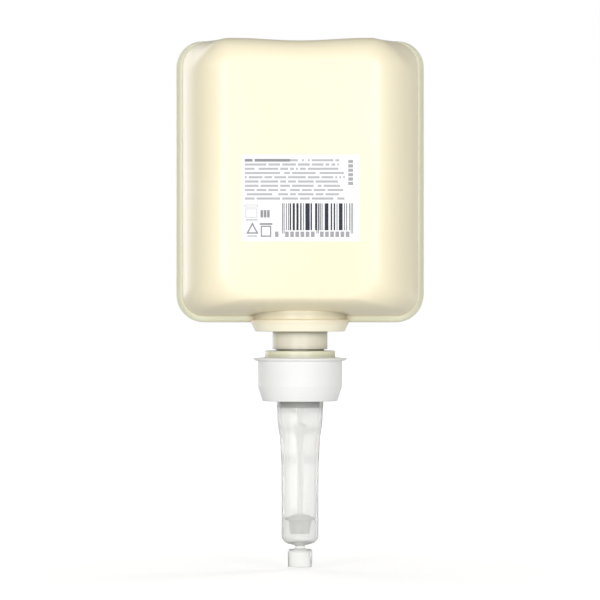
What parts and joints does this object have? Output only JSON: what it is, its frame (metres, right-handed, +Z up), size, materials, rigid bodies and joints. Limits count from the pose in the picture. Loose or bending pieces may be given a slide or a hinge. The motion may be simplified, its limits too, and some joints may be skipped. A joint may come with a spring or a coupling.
{
  "type": "hand soap refill pack",
  "caption": "Sealed one-litre blown bottle of hand soap, hung neck down, with a snap collar and a soft squeeze pump tube that ends in a break-off closure.",
  "frame": {"origin": "on the neck axis, in the plane of the underside of the collar's flange, where the dispenser carries the pack", "axes": "+Z up the neck axis to the bottle's base, -Y out of the face with the label, +X to the right as that face is seen"},
  "size_m": [0.113, 0.0882, 0.2398],
  "materials": {
    "bottle": "translucent natural polyethylene with cream soap behind it, satin",
    "label": "white film label, semi-matt",
    "collar": "white polypropylene, satin gloss",
    "tube": "soft translucent elastomer, satin",
    "regulator": "natural polypropylene"
  },
  "bodies": {
    "root": {"bottle": "bottle", "back_label": "label", "collar": "collar", "pump_tube": "tube", "regulator": "regulator"}
  },
  "joints": []
}
